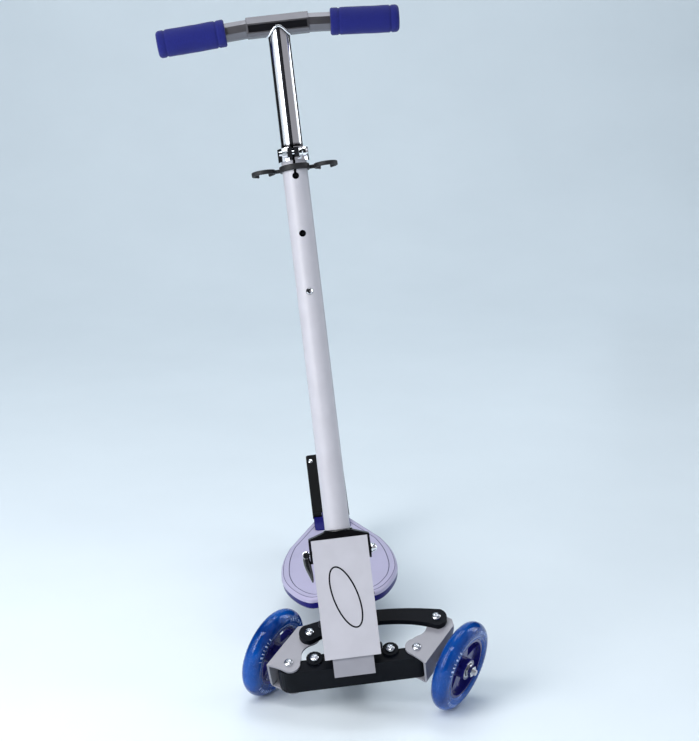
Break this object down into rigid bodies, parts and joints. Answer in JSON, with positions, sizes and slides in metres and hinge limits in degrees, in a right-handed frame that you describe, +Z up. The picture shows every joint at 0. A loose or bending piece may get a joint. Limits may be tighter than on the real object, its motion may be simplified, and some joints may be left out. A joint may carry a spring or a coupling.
{
  "type": "three wheel kids scooter",
  "caption": "Child's folding kick scooter with a lean-to-steer linkage, spoked wheels in front and behind, a raked telescopic stem and a T-bar.",
  "frame": {"origin": "centre of the bounding box at the ground, with the scooter leaning on its stop and all three wheels on the ground", "axes": "+Z up, the front wheels towards -Y, +X to the viewer's right when seen from the front"},
  "size_m": [0.4174, 0.6424, 0.869],
  "materials": {
    "white_paint": "satin",
    "black_truck": "satin",
    "black_paint": "satin",
    "black_plastic": "matte",
    "black_screw": "satin",
    "chrome": "polished",
    "zinc": "satin",
    "steel": "satin",
    "aluminium": "satin",
    "grip": "matte",
    "tyre": "gloss",
    "hub": "gloss",
    "deck_top": "satin",
    "deck_base": "gloss"
  },
  "bodies": {
    "frame": {"crossbeam": "black_truck", "boss_bolt_left": "zinc", "boss_bolt_right": "zinc", "kingpin_left": "zinc", "kingpin_right": "zinc", "front_upright": "white_paint", "front_cover": "white_paint", "cover_screw_upper": "black_screw", "cover_screw_lower": "black_screw", "neck": "black_paint", "deck_base": "deck_base", "deck_top": "deck_top", "brake_base": "deck_base", "brake_pin": "steel", "rear_fork": "black_paint", "rear_axle": "steel", "rear_axle_nut": "zinc", "fold_skewer": "chrome", "fold_nut": "chrome", "fold_bush": "steel"},
    "fold_lever": {"fold_lever": "chrome"},
    "stem": {"hinge_block": "black_plastic", "stem_tube": "white_paint", "clamp_collar": "chrome", "clamp_bolt": "chrome", "clamp_nut": "chrome", "grip_holder": "black_plastic"},
    "riser": {"riser_tube": "chrome", "bar_sleeve": "aluminium", "sleeve_strip": "black_plastic", "button_spring": "steel"},
    "height_button": {"height_button": "chrome"},
    "handle_left": {"handle_left": "aluminium", "grip_left": "grip"},
    "handle_right": {"handle_right": "aluminium", "grip_right": "grip"},
    "knuckle_left": {"knuckle_left": "white_paint", "tie_bolt_left": "zinc", "axle_left": "steel", "axle_spacer_left": "zinc", "axle_nut_left": "zinc"},
    "knuckle_right": {"knuckle_right": "white_paint", "tie_bolt_right": "zinc", "axle_right": "steel", "axle_spacer_right": "zinc", "axle_nut_right": "zinc"},
    "tie_rod": {"tie_rod": "black_truck"},
    "wheel_left": {"hub_left": "hub", "tyre_left": "tyre", "bearing_inner_left": "steel", "bearing_outer_left": "steel"},
    "wheel_right": {"hub_right": "hub", "tyre_right": "tyre", "bearing_inner_right": "steel", "bearing_outer_right": "steel"},
    "wheel_rear": {"hub_rear": "hub", "tyre_rear": "tyre", "bearing_rear_left": "steel", "bearing_rear_right": "steel"},
    "brake_flap": {"brake_flap": "black_plastic"}
  },
  "joints": [
    {"name": "steer_left", "type": "hinge", "parent": "frame", "child": "knuckle_left", "pos_m": [-0.049, -0.27875, 0.07126], "axis": [-0.1001, -0.454, 0.8854], "range_deg": [0, 78]},
    {"name": "steer_right", "type": "hinge", "parent": "frame", "child": "knuckle_right", "pos_m": [0.11197, -0.27875, 0.08946], "axis": [-0.1001, -0.454, 0.8854], "range_deg": [0, 78]},
    {"name": "tie_rod_pivot", "type": "hinge", "parent": "knuckle_left", "child": "tie_rod", "pos_m": [-0.0206, -0.24517, 0.09169], "axis": [-0.1001, -0.454, 0.8854], "range_deg": [-78, 0]},
    {"name": "wheel_left_spin", "type": "hinge", "parent": "knuckle_left", "child": "wheel_left", "pos_m": [-0.06711, -0.21785, 0.05899], "axis": [-0.8043, 0.5607, 0.1966], "continuous": true},
    {"name": "wheel_right_spin", "type": "hinge", "parent": "knuckle_right", "child": "wheel_right", "pos_m": [0.16835, -0.26977, 0.05899], "axis": [0.8043, -0.5607, -0.1966], "continuous": true},
    {"name": "wheel_rear_spin", "type": "hinge", "parent": "frame", "child": "wheel_rear", "pos_m": [0.03495, 0.27125, 0.04968], "axis": [0.9937, 0, 0.1124], "continuous": true},
    {"name": "fold", "type": "hinge", "parent": "frame", "child": "stem", "pos_m": [0.01721, -0.24475, 0.20655], "axis": [-0.9937, 0, -0.1124], "range_deg": [0, 74]},
    {"name": "fold_lever_turn", "type": "hinge", "parent": "frame", "child": "fold_lever", "pos_m": [-0.02571, -0.24475, 0.2017], "axis": [0.0323, 0.9578, -0.2855], "range_deg": [0, 120]},
    {"name": "riser_slide", "type": "slide", "parent": "stem", "child": "riser", "axis": [-0.1076, 0.2874, 0.9518], "range_m": [0, 0.146], "deforming": ["button_spring", "height_button"]},
    {"name": "height_button_press", "type": "slide", "parent": "riser", "child": "height_button", "axis": [0.0323, 0.9578, -0.2855], "range_m": [0, 0.0048], "stiffness_N_per_m": 900, "springref_m": -0.002, "deforming": ["button_spring"]},
    {"name": "handle_left_pull", "type": "slide", "parent": "riser", "child": "handle_left", "axis": [-0.9849, -0.018, -0.1719], "range_m": [0, 0.02], "stiffness_N_per_m": 300, "springref_m": -0.02},
    {"name": "handle_right_pull", "type": "slide", "parent": "riser", "child": "handle_right", "axis": [0.9985, -0.018, 0.0524], "range_m": [0, 0.02], "stiffness_N_per_m": 300, "springref_m": -0.02},
    {"name": "brake_press", "type": "hinge", "parent": "frame", "child": "brake_flap", "pos_m": [0.03044, 0.21475, 0.0896], "axis": [-0.9937, 0, -0.1124], "range_deg": [0, 19.5], "stiffness_Nm_per_rad": 0.6, "springref_deg": -20.05}
  ],
  "couplings": [
    {"joint": "steer_right", "follows": "steer_left", "ratio": 1},
    {"joint": "tie_rod_pivot", "follows": "steer_left", "ratio": -1}
  ]
}
